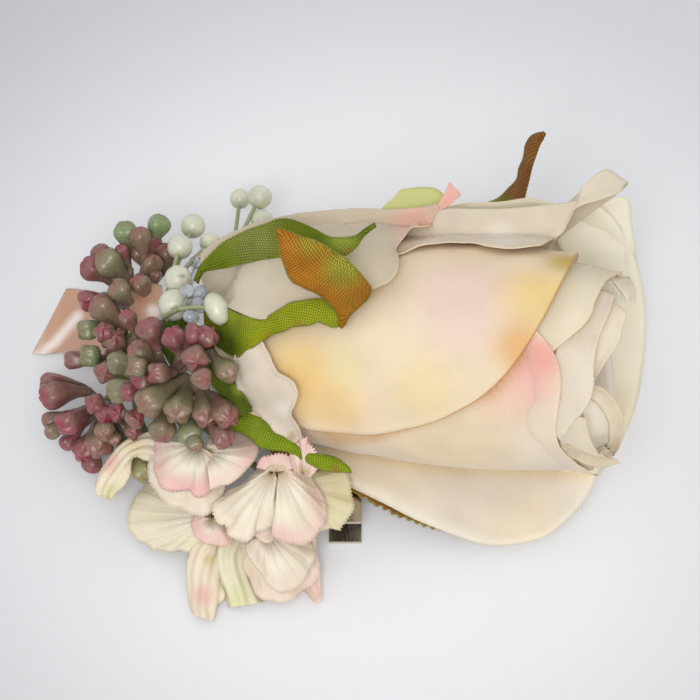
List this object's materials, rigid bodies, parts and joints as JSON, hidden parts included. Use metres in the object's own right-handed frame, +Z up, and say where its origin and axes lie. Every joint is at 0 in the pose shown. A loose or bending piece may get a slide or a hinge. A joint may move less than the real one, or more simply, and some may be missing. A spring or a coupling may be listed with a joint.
{
  "type": "corsage",
  "caption": "Wearable corsage: a cream and peach silk rose bud with green sepals, blossoms, glossy buds, berries and a satin ribbon tail, on a spring clip",
  "frame": {"origin": "the middle of the outline, on the table", "axes": "+X the way the rose opens, +Y away from the viewer, +Z up"},
  "size_m": [0.1298, 0.0956, 0.0688],
  "materials": {
    "cream_silk": "matte woven silk, cream with a peach blush",
    "blush_silk": "matte woven silk, pink blush",
    "gold_silk": "matte woven silk, golden yellow to pink",
    "leaf_green": "coarse woven cloth",
    "leaf_brown": "coarse woven cloth",
    "stem_tape": "waxed paper tape",
    "plum_bud": "semi-gloss, plum to green",
    "berry_green": "semi-gloss",
    "clear_bead": "clear, polished",
    "peach_satin": "satin weave",
    "nickel": "nickel-plated"
  },
  "bodies": {
    "corsage": {"bead_sprig": "clear_bead", "berry_sprig_1": "berry_green", "berry_sprig_2": "berry_green", "berry_sprig_3": "berry_green", "blossom_1": "cream_silk", "blossom_2": "cream_silk", "blossom_3": "cream_silk", "bud_spray_1": "plum_bud", "bud_spray_2": "plum_bud", "bud_spray_3": "plum_bud", "bud_spray_4": "plum_bud", "calyx": "leaf_green", "clip_arm": "nickel", "clip_pin": "nickel", "clip_spring": "nickel", "leaf_1": "leaf_brown", "leaf_2": "leaf_brown", "ribbon_tail": "peach_satin", "ribbon_wrap": "peach_satin", "rose_heart": "cream_silk", "rose_petal_1": "blush_silk", "rose_petal_2": "gold_silk", "rose_petal_3": "cream_silk", "rose_petal_4": "cream_silk", "rose_petal_5": "cream_silk", "rose_petal_6": "cream_silk", "rose_petal_7": "cream_silk", "rose_petal_8": "cream_silk", "sepal_1": "leaf_green", "sepal_2": "leaf_brown", "sepal_3": "leaf_green", "sepal_4": "leaf_green", "sepal_5": "leaf_green", "stem_bundle": "stem_tape"},
    "jaw": {"clip_jaw": "nickel"}
  },
  "joints": [
    {"name": "clip_hinge", "type": "hinge", "parent": "corsage", "child": "jaw", "pos_m": [0.00146, -0.01614, 0.00466], "axis": [-1, 0, 0], "range_deg": [0, 20], "stiffness_Nm_per_rad": 0.03, "springref_deg": -22.92}
  ]
}
